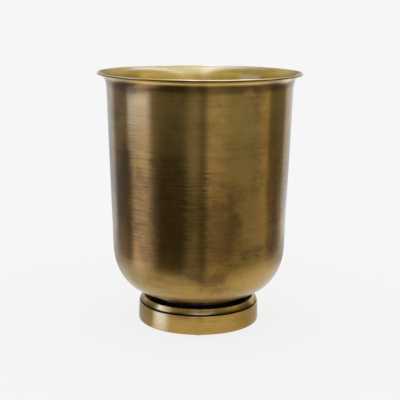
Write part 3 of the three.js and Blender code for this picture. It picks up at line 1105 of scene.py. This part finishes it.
# Panels, in degrees: round the urn from the camera's side to the right, each with its soft start and end,
# then up from the urn's middle with a soft bottom and top; then the panel's tone for red, green, blue
BACK = 200
PANELS = (
    # backdrop, either side of straight behind
    ((124, 9), (BACK, 1), (-90, 1), (14, 12), (0.60, 0.60, 0.62)),
    ((114, 14), (BACK, 1), (-60, 1), (-24, 12), (0.20, 0.19, 0.17)),
    ((-BACK, 1), (-125, 9), (-90, 1), (14, 12), (0.50, 0.53, 0.58)),
    ((114, 14), (BACK, 1), (-22, 6), (-11, 6), (0.42, 0.39, 0.37)),
    ((-BACK, 1), (-120, 12), (-22, 6), (-11, 6), (0.08, 0.07, 0.07)),
    # dim room, lighter above the floor
    ((-BACK, 1), (BACK, 1), (-3, 8), (40, 10), (0.17, 0.175, 0.155)),
    ((86, 8), (125, 12), (-60, 1), (24, 8), (0.06, 0.055, 0.04)),
    ((-140, 10), (-98, 10), (-60, 1), (24, 8), (0.18, 0.15, 0.15)),
    # glow under the softbox
    ((-85, 13), (-56, 26), (-34, 14), (-9, 12), (1.12, 1.01, 1.42)),
    ((-95, 12), (-61, 10), (-11, 8), (-1, 5), (0.35, 0.31, 0.42)),
    # thin gleam beside the camera
    ((-14, 9), (0, 6), (-60, 1), (24, 8), (0.22, 0.23, 0.22)),
    ((-16, 10), (14, 10), (-60, 1), (-23, 6), (0.14, 0.13, 0.11)),
    # fill card on the right, brighter at both ends
    ((9, 7), (88, 8), (-60, 1), (24, 8), (0.305, 0.305, 0.285)),
    ((8, 7), (30, 18), (-60, 1), (24, 8), (0.29, 0.24, 0.23)),
    ((74, 10), (88, 7), (-10, 10), (24, 8), (0.32, 0.20, 0.10)),
    ((46, 16), (88, 8), (-60, 1), (-14, 8), (0.032, 0.032, 0.038)),
    ((80, 8), (114, 10), (-60, 1), (-10, 8), (0.06, 0.04, 0.02)),
    ((86, 8), (98, 16), (-60, 1), (-10, 8), (0.15, 0.125, 0.09)),
    # front wall of the room, above the camera
    ((-60, 30), (90, 30), (12, 14), (42, 14), (0.42, 0.40, 0.38)),
    # pale ceiling
    ((-BACK, 1), (BACK, 1), (24, 20), (100, 1), (0.42, 0.40, 0.38)),
)
ROOM_TINT = ((86, 10), (124, 8), (-60, 1), (24, 8), (1.05, 0.97, 0.72))
# At a low angle the floor's sheen adds a gleam and takes away from its white, round a point in the foot
SHEEN_CENTRE = (-0.014, -0.050)
FLOOR_GLEAM = ((-90, 20), (-63, 22), (-80, 1), (-30, 8), (0.84, 1.57, 6.1))
FLOOR_SHADES = (
    ((-178, 10), (-94, 12), (-80, 1), (-30, 8), (0.48, 0.50, 0.48)),
    ((75, 40), (178, 10), (-80, 1), (-30, 8), (0.70, 0.61, 0.52)),
    ((100, 20), (178, 10), (-34, 8), (-20, 4), (0.42, 0.43, 0.45)),
    ((-178, 10), (-100, 20), (-34, 8), (-20, 4), (0.52, 0.53, 0.56)),
)
# Bars of light across the ceiling, front to back: offset to the right and drift per unit of depth, both
# as parts of the height above the mouth, then half width, soft edge and tone
CEILING_BARS = (
    (0.15, 0.0, 0.48, 0.27, (0.53, 0.77, 2.75)),
    (0.49, -0.15, 0.09, 0.10, (0.74, 0.98, 4.2)),
    (-0.12, 0.0, 0.085, 0.07, (0.38, 0.56, 3.1)),
)
BAR_FRONT = (-1.7, 0.8)
BAR_BACK = (1.1, 0.4)
# The softbox on the left stands nearer than the tent: turns as for the panels, then heights in metres
SOFTBOX_RADIUS = 0.60
SOFTBOX_TOP = 0.55
SOFTBOXES = (
    ((-90, 7), (-58, 10), (0.15, 0.07), (0.44, 0.06), (0.74, 0.98, 2.25)),
    ((-91, 5), (-57, 8), (0.168, 0.05), (0.27, 0.08), (0.56, 0.63, 0.90)),
    ((-93, 7), (-58, 10), (0.30, 0.06), (0.44, 0.06), (0.20, 0.50, 3.2)),
)
LOW_ANGLE = (0.45, 0.75)  # the floor's sheen sets in between these, from 0 straight on to 1 edge on
OVERHEAD = (0.05, 0.25)  # the bars set in between these heights above the mouth
TENT_DARK = (0.050, 0.056, 0.075)
TENT_OUTLINE = (
    (0.0745, 0.0005),
    (0.12, 0.0007),
    (0.20, 0.001),
    (0.42, 0.002),
    (0.50, 0.02),
    (0.62, 0.06),
    (0.90, 0.25),
    (1.30, 0.70),
    (1.50, 1.30),
    (1.30, 1.90),
    (0.80, 2.30),
    (0.0, 2.45),
)
WHITE_CENTRE = (0.005, 0.17)  # the floor stays white within a circle set back behind the urn
WHITE_RADIUS = 0.350
WHITE_EDGE = 0.04


class Glow(Shader):
    """A light that only reflections see, painted with soft-edged panels."""

    def __init__(self, name):
        super().__init__(name)
        self.tree.nodes.remove(self.surface)
        self.x, self.y, self.z = self.split(self.place())
        self.material.cycles.emission_sampling = "NONE"

    def turn(self, centre=(0.0, 0.0)):
        """The angle round an upright axis, from the camera's side to the right."""
        aside = self.math("SUBTRACT", self.x, centre[0])
        return self.math("ARCTAN2", aside, self.math("SUBTRACT", centre[1], self.y))

    def step_up(self, value, edge):
        """0 before a soft edge and 1 after it, for an edge of position and width."""
        position, width = edge
        return self.ease(value, position - width / 2, position + width / 2)

    def step_down(self, value, edge):
        return self.math("SUBTRACT", 1.0, self.step_up(value, edge))

    def window(self, value, start, end):
        return self.math("MULTIPLY", self.step_up(value, start), self.step_down(value, end))

    def shine(self, tones, through=False):
        light = self.add("ShaderNodeEmission", {"Color": tones, "Strength": 1.0}).outputs[0]
        if through:
            clear = self.add("ShaderNodeBsdfTransparent", {}).outputs[0]
            light = self.add("ShaderNodeAddShader", {0: light, 1: clear}).outputs[0]
        self.feed(self.tree.nodes["Material Output"].inputs["Surface"], light)

    def put_on(self, piece):
        piece.data.materials.append(self.material)
        piece.visible_camera = False
        piece.visible_diffuse = False
        piece.visible_shadow = False
        piece.visible_transmission = False
        piece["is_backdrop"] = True


def radians(edge):
    return tuple(math.radians(part) for part in edge)


tent = Glow("tent_panels")
around = tent.turn()
upward = tent.math("ARCTAN2", tent.math("SUBTRACT", tent.z, TENT_EYE), tent.length(tent.x, tent.y))


def with_panel(tones, panel, turn, strength=1.0, mode="ADD"):
    """Tones with a panel added; turn is the angle that it's placed by."""
    start, end, bottom, top, tone = panel
    sideways = tent.window(turn, radians(start), radians(end))
    share = tent.product(strength, sideways, tent.window(upward, radians(bottom), radians(top)))
    return tent.mix(share, tones, (*tone, 1), mode)


tones = (*TENT_DARK, 1)
for panel in PANELS:
    tones = with_panel(tones, panel, around)
tones = with_panel(tones, ROOM_TINT, around, mode="MULTIPLY")
set_back = tent.length(
    tent.math("SUBTRACT", tent.x, WHITE_CENTRE[0]),
    tent.math("SUBTRACT", tent.y, WHITE_CENTRE[1]),
)
beyond = tent.step_up(set_back, (WHITE_RADIUS, 2 * WHITE_EDGE))
tones = tent.mix(beyond, (FLOOR_TONE, FLOOR_TONE, FLOOR_TONE, 1), tones)
slant = tent.add("ShaderNodeLayerWeight", {"Blend": 0.5}).outputs["Facing"]
low_angle = tent.ease(slant, *LOW_ANGLE)
sheen_turn = tent.turn(SHEEN_CENTRE)
for panel in FLOOR_SHADES:
    tones = with_panel(tones, panel, sheen_turn, low_angle, "MULTIPLY")
tones = with_panel(tones, FLOOR_GLEAM, sheen_turn, low_angle)
above = tent.math("SUBTRACT", tent.z, cad_high.z)
overhead = tent.ease(above, *OVERHEAD)
bar_across = tent.math("DIVIDE", tent.x, above)
bar_along = tent.math("DIVIDE", tent.y, above)
bar_length = tent.window(bar_along, BAR_FRONT, BAR_BACK)
for offset, drift, half_width, edge, tone in CEILING_BARS:
    middle_line = tent.math("ADD", offset, tent.math("MULTIPLY", bar_along, drift))
    aside = tent.math("ABSOLUTE", tent.math("SUBTRACT", bar_across, middle_line))
    lit = tent.step_down(aside, (half_width, edge))
    tones = tent.mix(tent.product(lit, bar_length, overhead), tones, (*tone, 1), "ADD")
tent.shine(tones)
tent.put_on(skin("light_tent", turned(TENT_OUTLINE, TENT_FACETS), closed=False))

softbox = Glow("softbox")
tones = (0, 0, 0, 1)
for start, end, bottom, top, tone in SOFTBOXES:
    sideways = softbox.window(softbox.turn(), radians(start), radians(end))
    share = softbox.math("MULTIPLY", sideways, softbox.window(softbox.z, bottom, top))
    tones = softbox.mix(share, tones, (*tone, 1), "ADD")
softbox.shine(tones, through=True)
softbox_outline = [(SOFTBOX_RADIUS, 0.0), (SOFTBOX_RADIUS, SOFTBOX_TOP)]
softbox.put_on(skin("softbox", turned(softbox_outline, TENT_FACETS), closed=False))

bpy.context.scene.view_settings.view_transform = "Standard"

low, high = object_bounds()
